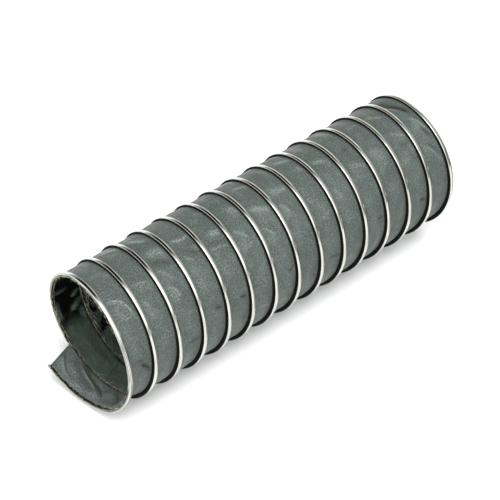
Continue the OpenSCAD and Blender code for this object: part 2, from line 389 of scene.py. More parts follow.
# The half that the photograph doesn't show, and the loose first turn, get the same kind of marks.
for panel in range(0, 15):
    for _ in range(7):
        a0 = rng.uniform(136, 306)
        u0, run_u = rng.uniform(7, 14), rng.uniform(10, 20)
        lean, bow = rng.uniform(-4, 7), rng.uniform(-5, 5)
        line = [(a0 + lean * f + bow * f * (1 - f) * 2, u0 + run_u * f) for f in (0, 0.25, 0.5, 0.75, 1)]
        pale = rng.choice([0.5, 0.4, 0.3, 0.25, -0.3, -0.4])
        CREASES.append((panel, rng.uniform(1.8, 3.0), pale, 0.7 * pale, line))
    for _ in range(4):
        PATCHES.append((panel, rng.uniform(136, 306), rng.uniform(9, 27), rng.uniform(4, 8), rng.uniform(4, 8), rng.uniform(0.1, 0.4)))


def rows_between(step_near, step_rest, split):
    out = [-0.6250]
    while out[-1] < S1 - 0.6 * step_rest:
        out.append(out[-1] + (step_near if out[-1] < split else step_rest))
    out[-1] = S1
    return np.array(out)


def strip_grid(rows):
    """Turn and axial place of every point of the strip on these rows."""
    S, U = np.meshgrid(rows, PROFILE[:, 0], indexing="ij")
    # The near end is cut slightly askew: from turn -0.612 at its own coil to -0.632 at the next.
    k = np.clip(-S / 0.6, 0, 1) ** 3
    return S + k * (0.014 - 0.021 * U / PITCH), U


def along(x, y, pts):
    """Distance from a bent line, the same with a sign for its side, and how far along the nearest place is, 0 to 1."""
    seg = np.linalg.norm(np.diff(pts, axis=0), axis=1)
    best, signed, where, done = np.full(x.shape, 1e9), np.zeros(x.shape), np.zeros(x.shape), 0.0
    for p, q, l in zip(pts[:-1], pts[1:], seg):
        d = (q - p) / l
        t = np.clip((x - p[0]) * d[0] + (y - p[1]) * d[1], 0, l)
        r = np.hypot(x - p[0] - t * d[0], y - p[1] - t * d[1])
        near = r < best
        best = np.where(near, r, best)
        signed = np.where(near, np.copysign(r, (x - p[0]) * d[1] - (y - p[1]) * d[0]), signed)
        where = np.where(near, (done + t) / seg.sum(), where)
        done += l
    return best, signed, where


def mark_line(line, sel, best, signed, strength):
    """Keeps, at each point, the distance from the strongest crease near it."""
    reach = strength * (1 - smooth01(best / 5.0))
    stronger = np.abs(reach) > np.abs(line[1][sel])
    line[0][sel] = np.where(stronger, signed, line[0][sel])
    line[1][sel] = np.where(stronger, reach, line[1][sel])


def relief(S, U):
    """Height of the creases and dents over the strip, how pale and how dark they are painted as highlight and shade,
    and where their ridges lie.
    """
    lift, pale, dark = np.zeros_like(S), np.zeros_like(S), np.zeros_like(S)
    line_out = [np.full_like(S, 8.0), np.zeros_like(S)]
    for panel, width, paint, height, line in CREASES:
        pts = np.array(line, float)
        sel = np.abs(S[:, 0] - panel + pts[:, 0].mean() / 360) < 0.16
        if not sel.any():
            continue
        x = -(S[sel] - panel) * 360 * ARC
        y = U[sel]
        pts[:, 0] *= ARC
        best, signed, where = along(x, y, pts)
        ends = smooth01(np.minimum(where, 1 - where) / 0.3 + 0.1)
        if pts[:, 0].mean() < 17 * ARC:          # those near the top stand out most, with stronger painted highlight and shade
            paint, height, width = 1.9 * paint, 2.0 * height, 1.25 * width
        elif paint < 0 and 66 * ARC < pts[:, 0].mean() < 110 * ARC:      # dark folds low down in front are deep, with stronger painted shade
            paint, height, width = 1.5 * paint, 1.9 * height, 1.15 * width
        mark_line(line_out, sel, best, signed, 1.15 * paint * ends * smooth01((3.4 - width) / 1.5))
        g = bell(best, 1.05 * width) * (0.35 + 0.65 * smooth01(np.minimum(where, 1 - where) / 0.22))
        wide = bell(best, width * 1.7) * (0.35 + 0.65 * smooth01(np.minimum(where, 1 - where) / 0.22))
        lift[sel] += 1.8 * height * wide
        if paint > 0:
            pale[sel] = np.maximum(pale[sel], paint * g)
        else:
            dark[sel] = np.maximum(dark[sel], -paint * g)
    for panel, a0, u0, ra, ru, paint in PATCHES:
        sel = np.abs(S[:, 0] - panel + a0 / 360) < 0.12
        if not sel.any():
            continue
        x = (-(S[sel] - panel) * 360 - a0) / ra
        y = (U[sel] - u0) / ru
        g = np.exp(-(x * x + y * y))
        lift[sel] += 1.3 * paint * g
        pale[sel] = pale[sel] + paint * g * (1 - pale[sel])
    # Painted shade: the cloth is painted a little darker low down in front.
    deg = (-S * 360) % 360
    painted_shade = 0.13 * smooth01((deg - 52) / 30) * smooth01((128 - deg) / 22) * (1 + 0.35 * np.sin(S * 71 + 0.21 * U) * np.sin(S * 173 - 0.13 * U))
    dark = dark + painted_shade * (1 - dark)
    return lift, pale, dark, line_out


# Folds that show on the inside, as (width mm round, width mm along, height mm, ridge, line, painted highlight, painted
# shade), with line of (turn of the strip, mm from its near edge)). Height is outward, so folds towards the axis are
# below 0.
# The fourth number is how sharp and bright the ridge's painted highlight is, or below 0 how sharp and dark its painted
# shade.
FOLDS = [
    (2.2, 1.5, 0.9, 0, [(-0.572, 34.5), (-0.555, 32.5), (-0.535, 28), (-0.510, 25), (-0.488, 22)], 0.0, 0.80),
    (2.0, 1.5, -1.5, 1.0, [(-0.576, 31), (-0.550, 26.2), (-0.522, 23), (-0.502, 19.5), (-0.490, 16.5)], 0.55, 0.0),
    (2.4, 1.6, 0.7, -0.9, [(-0.492, 22), (-0.474, 17.5), (-0.462, 13)], 0.0, 0.45),
    (2.0, 1.5, -0.8, 0.6, [(-0.490, 16.5), (-0.478, 12), (-0.468, 9)], 0.35, 0.0),
    (7.0, 6.0, -1.6, 0, [(-0.586, 22), (-0.556, 15), (-0.536, 9)], 0.25, 0.0),
    (5.0, 4.5, -1.2, 0, [(-0.527, 15), (-0.518, 8)], 0.28, 0.0),
    (4.5, 3.5, -1.0, 0, [(-0.516, 34), (-0.500, 30), (-0.492, 26)], 0.45, 0.0),
    (8.0, 6.0, -1.9, 0, [(-0.492, 10), (-0.470, 17), (-0.452, 24)], 0.35, 0.0),
    (5.0, 3.0, 1.0, -0.5, [(-0.452, 33), (-0.436, 27), (-0.418, 20), (-0.398, 11)], 0.0, 0.55),
    (3.5, 3.0, 0.5, 0, [(-0.622, 30), (-0.616, 18)], 0.0, 0.35),
    (6.0, 3.2, -0.5, 0, [(-0.612, 16), (-0.594, 8), (-0.565, 4.5), (-0.52, 4)], 0.72, 0.0),
    (2.0, 2.0, -0.4, 0.8, [(-0.622, 24), (-0.604, 15.5), (-0.580, 9), (-0.552, 6)], 0.2, 0.0),
    (3.0, 3.0, 0.3, -0.4, [(-0.410, 12), (-0.400, 7), (-0.396, 3)], 0.0, 0.6),
    (2.6, 2.4, 0.5, 0, [(0.296, 18), (0.310, 24), (0.316, 33)], 0.0, 1.0),
    (2.6, 2.0, 0.5, 0, [(0.300, 15), (0.314, 10), (0.324, 4.5)], 0.0, 1.0),
    (3.0, 2.2, 0.4, -0.6, [(0.345, 34), (0.352, 22), (0.348, 8)], 0.0, 0.45),
    (3.0, 2.0, -0.9, 0.8, [(0.300, 35), (0.317, 34.4), (0.338, 33)], 0.55, 0.0),
    (3.5, 3.0, -0.7, 0.4, [(0.378, 6), (0.385, 12), (0.388, 21)], 0.35, 0.0),
    (2.6, 2.2, -0.9, 0.9, [(0.462, 36), (0.475, 20), (0.480, 8)], 0.40, 0.0),
    (2.6, 2.4, 0.6, -0.5, [(0.436, 30), (0.446, 21), (0.452, 12)], 0.0, 0.30),
    (2.4, 2.0, 0.6, 0, [(1.266, 3), (1.284, 4.5)], 0.0, 1.0), (2.2, 1.8, 0.6, 0, [(1.292, 6), (1.300, 6.6)], 0.0, 1.0),
    (4.6, 3.4, 0.6, 0, [(1.317, 7), (1.326, 8.2), (1.327, 13)], 0.0, 1.0),
    (4.2, 3.4, 0.6, 0, [(1.351, 20), (1.358, 15), (1.366, 11)], 0.0, 1.0), (4.6, 4.0, 0.6, 0, [(1.368, 20), (1.372, 14), (1.379, 6)], 0.0, 1.0),
    (3.0, 2.6, -0.9, 0.7, [(1.340, 3), (1.350, 10), (1.362, 17)], 0.35, 0.0),
    (3.0, 2.6, -0.7, 0.5, [(1.385, 26), (1.405, 15), (1.420, 6)], 0.3, 0.0),
]


def folds(S, U):
    lift, pale, dark = np.zeros_like(S), np.zeros_like(S), np.zeros_like(S)
    line_in = [np.full_like(S, 8.0), np.zeros_like(S)]
    for wide, high, height, crisp, line, paint, shade in FOLDS:
        pts = np.array(line, float)
        sel = np.abs(S[:, 0] - pts[:, 0].mean()) < 0.16
        x, y = (S[sel] - pts[0, 0]) * 360 * ARC, U[sel]
        q = np.stack([(pts[:, 0] - pts[0, 0]) * 360 * ARC, pts[:, 1]], -1)
        best, _, _ = along(x / wide, y / high, q / (wide, high))
        g = np.exp(-best ** 2)
        lift[sel] += height * g
        pale[sel] = np.maximum(pale[sel], paint * g)
        dark[sel] = np.maximum(dark[sel], shade * np.exp(-best ** 4))
        if crisp:
            best, signed, where = along(x, y, q)
            mark_line(line_in, sel, best, signed, crisp * smooth01(np.minimum(where, 1 - where) / 0.25 + 0.1))
    return lift, pale, dark, line_in


# Hanging folds inside the back of the first turn: (turn, mm, half width in mm round, half length in mm, depth mm, lean,
# how much painted light lifts the inside's painted shade on them).
LOBES = [(0.259, 30, 4.4, 3.3, 3.0, -1.04, 0.66), (0.289, 28.4, 6.4, 5.2, 4.0, -1.06, 0.62), (0.231, 8, 3.4, 11, 2.0, 0.0, 0.25),
         (0.317, 32.2, 7.0, 2.8, 0.8, 0.0, 0.38),
         (0.284, 2.8, 12, 3.0, 1.8, 0.0, 0.46), (0.345, 10, 6.0, 6.0, 1.2, 0.0, 0.3), (0.214, 30, 3.2, 5.0, 2.2, 0.3, 0.35)]


def lobes(S, U):
    lift, pale = np.zeros_like(S), np.zeros_like(S)
    for s0, u0, rs, ru, depth, tilt, bright in LOBES:
        sel = np.abs(S[:, 0] - s0) < 0.08
        x = (S[sel] - s0) * 360 * ARC
        y = U[sel] - u0 - tilt * x
        d = np.hypot(x / rs, y / ru)
        lift[sel] -= depth * np.exp(-d ** 2.4)
        fade = np.clip(0.72 + 0.32 * x / rs, 0.35, 1)          # paler on the side that faces the light
        pale[sel] = np.maximum(pale[sel], bright * fade * smooth01((1.3 - d) / 0.5))
    return lift, pale


def swell(S, U):
    """Slow unevenness of the stretched fabric."""
    a = 2 * np.pi * S
    h = 0.30 * np.sin(3.1 * a + 0.9 * np.sin(1.7 * a) + 0.10 * U) + 0.22 * np.sin(5.3 * a + 0.13 * U + 1.0)
    h += 0.16 * np.sin(9.7 * a - 0.21 * U + 2.0 * np.sin(0.9 * a))
    return h


def strip_surface(S, U):
    V = U / PITCH
    dist = np.minimum(U, PITCH - U)
    free = smooth01((dist - 2.2) / 6.5)          # 0 at the channels, 1 over the open fabric
    lift, pale, dark, line_out = relief(S, U)
    fold_lift, fold_pale, fold_dark, line_in = folds(S, U)
    lobe_lift, lobe_pale = lobes(S, U)
    edge = 0.25 * np.sin(2 * np.pi * 7.3 * S + 2 * V) + 0.2 * np.sin(2 * np.pi * 12.1 * S + 1.1)
    radius = np.broadcast_to(PROFILE[:, 1], S.shape) + free * (lift + fold_lift + swell(S, U)) + edge * bell(dist - 4.0, 2.0) * 0.5
    # It hangs slack where the clamped first turn ends underneath.
    radius = radius - 2.8 * free * np.exp(-((S + 0.352) * 360 * ARC / 17) ** 2)
    # The cloth stands fuller towards the top and the back than underneath.
    radius = radius + (1 - V) * dev_r(S) + V * dev_r(S + 1) + 1.15 * np.cos(2 * np.pi * S - 0.87) * smooth01((dist - 0.9) / 2.5)
    axial = PITCH * (S - MID) + U + (1 - V) * dev_x(S) + V * dev_x(S + 1)
    inside = fold_pale, fold_dark, lobe_lift * free, lobe_pale, line_in
    line_out[1] *= free
    return place(axial, radius, S), dist, pale * free, dark * free, lift * free, line_out, inside


def shell(P, thick):
    """Outer and inner faces of a sheet of that thickness about the grid P."""
    nrm = np.cross(np.gradient(P, axis=1), np.gradient(P, axis=0))
    nrm /= np.linalg.norm(nrm, axis=-1, keepdims=True)
    mid = P.shape[1] // 2
    out = np.stack([np.zeros(len(P)), P[:, mid, 1], P[:, mid, 2] - AXIS], -1)
    if (nrm[:, mid] * out).sum() < 0:
        nrm = -nrm
    return P + nrm * thick / 2, P - nrm * thick / 2


SPLIT = 2.1            # the inside is as fine as the outside up to this turn, and coarse beyond it
FINE, SKIP = 1 / 200, 4
rows = rows_between(FINE, FINE, SPLIT)
first = int(np.searchsorted(rows, SPLIT))
extra = (len(rows) - 1 - first) % SKIP
first += extra
S, U = strip_grid(rows)
P, dist, pale, dark, lift, line_out, (fold_pale, fold_dark, lobe_lift, lobe_pale, line_in) = strip_surface(S, U)
outer, inner = shell(P, 0.5)
keep = np.concatenate([np.arange(first), np.arange(first, len(rows), SKIP)])
# Where the inside is coarse it stays clear of the outside's dents.
low = np.minimum(0, lift)
lowest = low.copy()
for o in range(-SKIP, SKIP + 1):
    lowest = np.minimum(lowest, np.roll(low, o, 0))
pull = (lowest - lift)[keep]
pull[:first] *= 0
direction_in = inner[keep] - outer[keep]
direction_in /= np.linalg.norm(direction_in, axis=-1, keepdims=True)
inner = inner[keep] + direction_in * (-pull - lobe_lift[keep])[..., None]
ni, nj = P.shape[:2]
mi = len(keep)
io = np.arange(ni * nj).reshape(ni, nj)
ii = np.arange(mi * nj).reshape(mi, nj) + ni * nj


def quads(g, flip):
    f = np.stack([g[:-1, :-1], g[1:, :-1], g[1:, 1:], g[:-1, 1:]], -1).reshape(-1, 4)
    return (f[:, ::-1] if flip else f).tolist()


fo, fi = quads(io, True), quads(ii, False)
edge = []
for col, flip in ((0, True), (nj - 1, False)):
    for m in range(mi - 1):
        o = io[keep[m]:keep[m + 1] + 1, col].tolist()
        f = o + [int(ii[m + 1, col]), int(ii[m, col])]
        edge.append(f[::-1] if flip else f)
for row, inn, flip in ((io[0], ii[0], False), (io[-1], ii[-1], True)):
    for j in range(nj - 1):
        f = [int(row[j]), int(row[j + 1]), int(inn[j + 1]), int(inn[j])]
        edge.append(f[::-1] if flip else f)

step = np.linalg.norm(np.diff(P, axis=1), axis=-1).mean(0)
across = np.concatenate([[0], np.cumsum(step)])
cloth = np.stack([S * 2 * np.pi * 80.5, np.broadcast_to(across, S.shape), np.zeros_like(S)], -1)
# Painted shadow of the channel on the outer cloth beside it, then the dark joint of the seam inside.
gap_out = 1 - smooth01((dist - 2.62) / 0.6)
gap_in = 1 - smooth01((dist - 0.6) / 0.6)
# Outside: painted shadow by the channel, painted highlight, painted shade.
marks_out = np.stack([gap_out, pale, dark], -1)
# Painted shade inside: the cloth is painted only a little darker on the loose flap and darker further in, blackest
# behind the hanging folds.
Sk, Uk = S[keep], U[keep]
inner_shade = 0.58 * smooth01((Sk + 0.44) / 0.22) * (0.8 + 0.2 * smooth01((Sk - 0.9) / 0.3))
inner_shade = np.maximum(inner_shade, 0.80 * smooth01((1.335 - Sk) / 0.03) * smooth01((Sk - 1.0) / 0.2))
inner_shade = np.maximum(inner_shade, 0.89 * smooth01((0.410 - Sk) / 0.10) * smooth01((Sk + 0.2) / 0.2))
inner_shade = np.maximum(inner_shade, 0.04 + 0.11 * smooth01((-0.50 - Sk) / 0.06))
black = smooth01((Sk - 0.178) / 0.02) * smooth01((0.310 - Sk) / 0.012) * smooth01((Uk - 0.5) / 1.5) * smooth01((37.5 - Uk) / 1.5)
inner_shade = np.maximum(inner_shade, black)
inner_shade = np.maximum(inner_shade, fold_dark[keep])
inner_shade = np.clip(inner_shade * (1 - lobe_pale[keep]), 0, 1)
marks_in = np.stack([gap_in[keep], fold_pale[keep], inner_shade], -1)
lines = np.concatenate([np.stack([*l, 0 * l[0]], -1).reshape(-1, 3) for l in (line_out, [v[keep] for v in line_in])])
# Faces in the deepest painted shade get the inner cloth without gloss, so that they stay black.
deepest_shade = np.minimum(np.minimum(inner_shade[:-1, :-1], inner_shade[1:, :-1]), np.minimum(inner_shade[1:, 1:], inner_shade[:-1, 1:])) > 0.86
# Faces beside the channel's wall get the cloth without gloss, so that the painted shadow there stays black.
by_wall = np.maximum(dist[0, :-1], dist[0, 1:]) < 2.7
mat_index = np.tile(np.where(by_wall, 4, 0), ni - 1).tolist() + np.where(deepest_shade, 3, 1).ravel().tolist() + [2] * len(edge)
fabric = make_mesh("hose_fabric", np.concatenate([outer.reshape(-1, 3), inner.reshape(-1, 3)]), fo + fi + edge,
                   (outer_mat, inner_mat, edge_mat, inner_shade_mat, gap_shade_mat), mat_index, True,
                   [("cloth", "FLOAT_VECTOR", np.concatenate([cloth.reshape(-1, 3), cloth[keep].reshape(-1, 3)])),
                    ("marks", "FLOAT_VECTOR", np.concatenate([marks_out.reshape(-1, 3), marks_in.reshape(-1, 3)])),
                    ("line", "FLOAT_VECTOR", lines)])

# ---------------------------------------------------------------- the clamping channel
# Section of the rolled channel: axial place, height over the seat, how much painted shade blackens the steel there.
SECTION = [(-2.2, -0.8, 1), (-2.2, 0.6, 1), (-2.24, 2.0, 1), (-2.30, 2.72, 0.9), (-2.5, 2.86, 0.2), (-2.56, 3.02, 0),
           (-2.50, 3.24, 0), (-2.36, 3.42, 0), (-2.18, 3.53, 0), (-2.0, 3.567, 0), (-1.75, 3.577, 0), (-1.35, 3.588, 0),
           (-1.2, 3.591, 0), (-0.85, 3.592, 0), (-0.7, 3.592, 0), (-0.35, 3.586, 0), (0.0, 3.574, 0), (0.4, 3.549, 0),
           (0.75, 3.517, 0), (1.2, 3.458, 0), (1.65, 3.387, 0),
           (2.05, 3.309, 0), (2.19, 3.24, 0), (2.31, 3.11, 0), (2.39, 2.93, 0.1), (2.43, 2.7, 0.4), (2.38, 2.4, 0.9),
           (2.26, 2.15, 1), (2.22, 1.4, 1), (2.2, -0.8, 1), (0.85, -0.2, 1), (0.85, 2.1, 1), (-0.85, 2.1, 1), (-0.85, -0.2, 1)]
sec = np.array(SECTION)
NT = 15 * 150 + 1
T = np.linspace(T0, T1, NT)
TT, SU = np.meshgrid(T, sec[:, 0], indexing="ij")
SV = np.broadcast_to(sec[:, 1], TT.shape)
CX = PITCH * (TT - MID) + SU + dev_x(TT)
CR = SEAT + SV + dev_r(TT)
CP = place(CX, CR, TT)
ns = len(sec)
cid = np.arange(NT * ns).reshape(NT, ns)
p, q = cid[:-1], cid[1:]
side = np.stack([p, np.roll(p, -1, 1), np.roll(q, -1, 1), q], -1).reshape(-1, 4)
cap0, cap1 = cid[0][::-1].tolist(), cid[-1].tolist()
around = np.concatenate([[0], np.cumsum(np.hypot(*np.diff(sec[:, :2], axis=0).T))])
run = np.stack([TT * 2 * np.pi * 84, np.broadcast_to(around, TT.shape), np.zeros_like(TT)], -1)
# The lower walls take the near-black wall material as painted shade; the near wall only past turn 0.40, where cloth
# stands beside it.
wall = (sec[:, 2] + np.roll(sec[:, 2], -1)) / 2 > 0.7
beside = (T[:-1] > 0.40)[:, None] | (sec[:, 0] > -0.9)[None, :]
side_mat = (wall[None, :] & beside).astype(int).ravel().tolist() + [0, 0]
# Painted dark reflection on the far half low down at the front. The first turn gets painted dark reflection and shade
# along its near shoulder and its far half in front, and painted shade at the foot of its near wall underneath.
a = (-TT * 360) % 360
painted_reflection_shade = (0.97 - 0.14 * smooth01((a - 68) / 10)) * smooth01((a - 53.5) / 8) * smooth01((98 - a) / 16) * smooth01((SU + 0.3) / 1.1) * smooth01((2.4 - SU) / 0.1)
painted_reflection_shade = np.maximum(painted_reflection_shade, 0.72 * smooth01((a - 84) / 10) * smooth01((128 - a) / 10) * smooth01((SU + 0.9) / 0.5) * (TT < 0))
painted_reflection_shade = np.maximum(painted_reflection_shade, 0.95 * smooth01((a - 40) / 12) * smooth01((102 - a) / 12) * smooth01((SU - 1.7) / 0.4))
tail = TT < 0
front = tail * smooth01((a - 40) / 12)
painted_reflection_shade = np.maximum(painted_reflection_shade, 0.92 * front * smooth01((80 - a) / 12) * smooth01((SU + 0.1) / 1.1))
painted_reflection_shade = np.maximum(painted_reflection_shade, 0.97 * front * smooth01((100 - a) / 12) * np.isin(SU, (-1.2, -0.85)) * (SV > 3))
painted_reflection_shade = painted_reflection_shade * (SV > 2.2)
near = SU < -0.9
painted_reflection_shade = np.maximum(painted_reflection_shade, front * smooth01((96 - a) / 12) * near * smooth01((SV - 1.6) / 1.1) * smooth01((3.5 - SV) / 0.2))
low = tail * smooth01((a - 88) / 14) * near
painted_reflection_shade = np.maximum(painted_reflection_shade, low * (SV < 1) + 0.6 * low * (SV > 1) * (SV < 2.4) + 0.15 * low * (SV > 2.4) * (SV < 2.8))
# The first turn's near wall, with no cloth beside it, gets only 0.24 of the walls' painted shade.
channel = make_mesh("hose_channel", CP.reshape(-1, 3), side.tolist() + [cap0, cap1], (steel_mat, wall_mat), side_mat, True,
                    [("run", "FLOAT_VECTOR", run.reshape(-1, 3)),
                     ("painted_dark", "FLOAT", np.maximum(painted_reflection_shade, sec[:, 2] * np.where((TT < 0.40) & near, 0.24, 1)).ravel())])

# ---------------------------------------------------------------- frayed yarns of the strip's raw edges
yarn_rng = np.random.default_rng(305)


def hose_point(t, u, r):
    """A point u mm from coil t, at that radius, which follows the coil's strays."""
    t, u, r = np.broadcast_arrays(np.asarray(t, float), np.asarray(u, float), np.asarray(r, float))
    v = np.clip(u / PITCH, 0, 1)
    return place(PITCH * (t - MID) + u + (1 - v) * dev_x(t) + v * dev_x(t + 1), r + (1 - v) * dev_r(t) + v * dev_r(t + 1), t)


class Yarns:
    """Thin closed tubes, with a tone from 0, dark, to 1, pale."""

    def __init__(self):
        self.verts, self.faces, self.fibre, self.count = [], [], [], 0

    def add(self, path, radius, tone, sides=4):
        path = np.asarray(path, float)
        tangent = np.gradient(path, axis=0)
        tangent /= np.linalg.norm(tangent, axis=1, keepdims=True)
        ref = (1, 0, 0) if abs(tangent[:, 0]).mean() < 0.8 else (0, 1, 0)
        a = np.cross(tangent, ref)
        a /= np.linalg.norm(a, axis=1, keepdims=True)
        b = np.cross(tangent, a)
        n = len(path)
        thin = radius * np.clip(0.45 + 0.55 * np.minimum(np.arange(n), n - 1 - np.arange(n)) / 1.5, 0, 1)
        turn = 2 * np.pi * np.arange(sides) / sides
        ring = path[:, None] + thin[:, None, None] * (np.cos(turn)[:, None] * a[:, None] + np.sin(turn)[:, None] * b[:, None])
        i = np.arange(n * sides).reshape(n, sides) + self.count
        self.faces += np.stack([i[:-1], i[1:], np.roll(i[1:], -1, 1), np.roll(i[:-1], -1, 1)], -1).reshape(-1, 4).tolist()
        self.faces += [i[0].tolist(), i[-1][::-1].tolist()]
        self.verts.append(ring.reshape(-1, 3))
        length = np.concatenate([[0], np.cumsum(np.linalg.norm(np.diff(path, axis=0), axis=1))])
        f = np.stack([np.full(n, tone), length + 40 * yarn_rng.random(), np.zeros(n)], -1)
        self.fibre.append(np.repeat(f, sides, axis=0))
        self.count += n * sides

    def strand(self, t0, t1, u, r, wander, radius, tones, step=2.2, piece=(18, 70), sides=4):
        """Yarn laid along the coil, broken here and there."""
        t = t0
        while t < t1 - 0.004:
            end = min(t1, t + yarn_rng.uniform(*piece) / 507)
            k = max(4, int((end - t) * 507 / step))
            x = np.linspace(t, end, k)
            p = yarn_rng.uniform(0, 6.28, 4)
            wave = [0.6 * np.sin(x * 507 / yarn_rng.uniform(1.4, 2.6) + p[i]) + 0.6 * np.sin(x * 507 / yarn_rng.uniform(3.5, 7) + p[i + 1])
                    for i in (0, 2)]
            self.add(hose_point(x, u + 0.5 * wander * wave[0], r + wander * wave[1]), radius * yarn_rng.uniform(0.75, 1.2),
                     yarn_rng.uniform(*tones), sides)
            t = end + yarn_rng.uniform(-1.5, 2.5) / 507

    def tuft(self, t, u, r, along, out, length, radius, tone):
        """A short hair from a point of the edge; along and out are its slopes round the coil and towards the axis."""
        w = np.linspace(0, 1, 6)
        bend = yarn_rng.uniform(-0.5, 0.5)
        self.add(hose_point(t + (along * w + bend * w * w) * length / 507, u - 0.25 * length * w * yarn_rng.uniform(-0.6, 1.0),
                            r - out * length * w), radius, tone)


yarns = Yarns()
# The strip's first raw edge shows all along the inside of the first coil.
for start, r0, u0, wander, tones in ((-0.607, 79.75, 0.55, 0.30, (0.1, 0.9)), (-0.135, 79.6, -0.35, 0.40, (0.0, 1.0)),
                                     (-0.12, 79.8, -1.3, 0.35, (0.1, 1.0)), (-0.125, 79.95, -2.45, 0.30, (0.0, 1.0)),
                                     (0.03, 80.65, -2.6, 0.25, (0.1, 1.0)), (0.06, 81.3, -2.75, 0.22, (0.2, 0.9))):
    yarns.strand(start, 0.388, u0, r0, wander, 0.42, tones, piece=(5, 26))
for u0, r0, tones in ((-2.55, 80.1, (0.3, 1.0)), (-2.75, 80.9, (0.2, 1.0))):
    yarns.strand(-0.605, -0.275, u0, r0, 0.35, 0.40, tones, piece=(4, 16))
for _ in range(190):
    t = yarn_rng.uniform(-0.607, -0.28) if _ % 3 == 0 else yarn_rng.uniform(-0.13, 0.388)
    yarns.tuft(t, yarn_rng.uniform(-1.6, 0.6), 79.8, yarn_rng.uniform(-1.0, 1.0), yarn_rng.uniform(0.1, 1.0),
               yarn_rng.uniform(1.5, 3.6), 0.24, yarn_rng.uniform(0.4, 1.0))
for _ in range(46):
    yarns.tuft(yarn_rng.uniform(-0.135, -0.03), yarn_rng.uniform(-2.6, -1.6), 80.0, yarn_rng.uniform(-1.1, 1.1), yarn_rng.uniform(0.5, 1.2),
               yarn_rng.uniform(1.5, 4.2), 0.27, yarn_rng.uniform(0.2, 1.0))
# The flap's corner is the most frayed.
for _ in range(34):
    t = -0.607 - yarn_rng.uniform(-2, 1.5) / 507
    yarns.tuft(t, -2.2 + yarn_rng.uniform(-0.6, 0.8), yarn_rng.uniform(79.6, 83.5), -yarn_rng.uniform(0.3, 1.3), yarn_rng.uniform(-0.2, 0.5),
               yarn_rng.uniform(1.5, 4.0), 0.28, yarn_rng.uniform(0.5, 1.0))
# At every seam inside, one edge peeps out of the gap; the first two are the worst.
yarns.strand(0.392, 1.12, 0.45, 79.75, 0.18, 0.36, (0.45, 0.95), piece=(14, 60))
yarns.strand(1.12, 2.10, 1.25, 79.55, 0.22, 0.38, (0.45, 0.95), piece=(14, 60))
yarns.strand(0.392, 2.10, -0.2, 79.95, 0.2, 0.28, (0.1, 0.6), piece=(8, 30))
yarns.strand(2.10, 14.36, 0.9, 79.65, 0.2, 0.32, (0.3, 0.9), step=6, piece=(30, 160), sides=3)
for _ in range(110):
    t = yarn_rng.uniform(0.40, 2.1)
    yarns.tuft(t, 0.7, 79.7, yarn_rng.choice([-1, 1]) * yarn_rng.uniform(0.5, 1.2), yarn_rng.uniform(0.0, 0.5), yarn_rng.uniform(2, 6), 0.16,
               yarn_rng.uniform(0.4, 1.0))
# Long loose yarns, as lines of (turn, mm from the near coil).
LOOSE = [[(1.280, 11.8), (1.287, 11.0), (1.301, 4.7), (1.315, 0.9), (1.326, 1.8)], [(1.312, 1.0), (1.318, 3.6), (1.335, 8.3), (1.348, 15.1)],
         [(1.318, 0.2), (1.325, 1.6), (1.338, 5.3), (1.357, 9.0)], [(1.298, 9.0), (1.304, 11.0), (1.314, 12.3)],
         [(1.290, 0.8), (1.300, 2.9), (1.322, 5.0), (1.345, 7.2)], [(1.276, 2.0), (1.292, 5.0), (1.305, 6.4)],
         [(1.330, 0.5), (1.345, 2.9), (1.366, 4.3), (1.385, 5.6)], [(1.262, 2.2), (1.272, 7.0), (1.280, 12.6), (1.279, 16.0)],
         [(0.452, 0.2), (0.469, 2.4), (0.476, 5.6), (0.481, 9.5)], [(0.498, 0.4), (0.505, 3.0), (0.511, 5.6), (0.517, 8.4)],
         [(0.487, 5.0), (0.488, 9.0), (0.480, 16.0), (0.474, 23.7), (0.471, 28.8)], [(1.389, 4.6), (1.396, 3.4), (1.402, 1.2)],
         [(1.266, 8.5), (1.281, 7.0), (1.298, 3.4), (1.312, 0.9)], [(1.272, 10.5), (1.288, 8.6), (1.303, 5.6), (1.318, 4.8)],
         [(1.268, 4.4), (1.280, 6.6), (1.293, 9.8)], [(1.335, 1.4), (1.352, 4.2), (1.376, 5.0)],
         [(0.520, 0.2), (0.530, 1.8), (0.541, 2.4), (0.552, 4.6)], [(1.446, 1.0), (1.455, 3.6), (1.459, 6.8)]]
for line in LOOSE:
    pts = np.array(line)
    k = np.linspace(0, len(pts) - 1, 16)
    smooth = [np.interp(k, np.arange(len(pts)), pts[:, i]) for i in (0, 1)]
    smooth = [np.convolve(np.pad(v, 2, mode="reflect", reflect_type="odd"), np.ones(5) / 5, "valid") for v in smooth]
    faint = line[0][0] == 0.487
    yarns.add(hose_point(smooth[0], smooth[1], 79.3 - 0.6 * np.sin(np.pi * k / k[-1])), 0.13 if faint else 0.31 if line[0][0] > 1 else 0.24,
              0.40 if faint else yarn_rng.uniform(0.65, 1.0))

ym = bpy.data.materials.new("frayed_yarn")
n = Nodes(ym)
fibre = n.add("ShaderNodeSeparateXYZ", {0: n.attribute("fibre")})
mottle = n.noise(n.add("ShaderNodeCombineXYZ", {0: fibre.outputs[1], 1: n.math("MULTIPLY", fibre.outputs[0], 30.0)}).outputs[0], 0.24, 2, 0.6)
tone = n.math("ADD", fibre.outputs[0], n.ramp(mottle, 0.35, 0.65, -0.45, 0.35), clamp=True)
col = n.mix(n.ramp(tone, 0.0, 0.5), (0.014, 0.013, 0.0095, 1), (0.122, 0.110, 0.070, 1))
col = n.mix(n.ramp(tone, 0.5, 1.0), col, (0.41, 0.39, 0.31, 1))
n.output(n.add("ShaderNodeBsdfPrincipled", {"Base Color": col, "Roughness": 0.9, "Specular IOR Level": 0.2}).outputs[0])
threads = make_mesh("edge_threads", np.concatenate(yarns.verts), yarns.faces, (ym,), None, True,
                    [("fibre", "FLOAT_VECTOR", np.concatenate(yarns.fibre))])

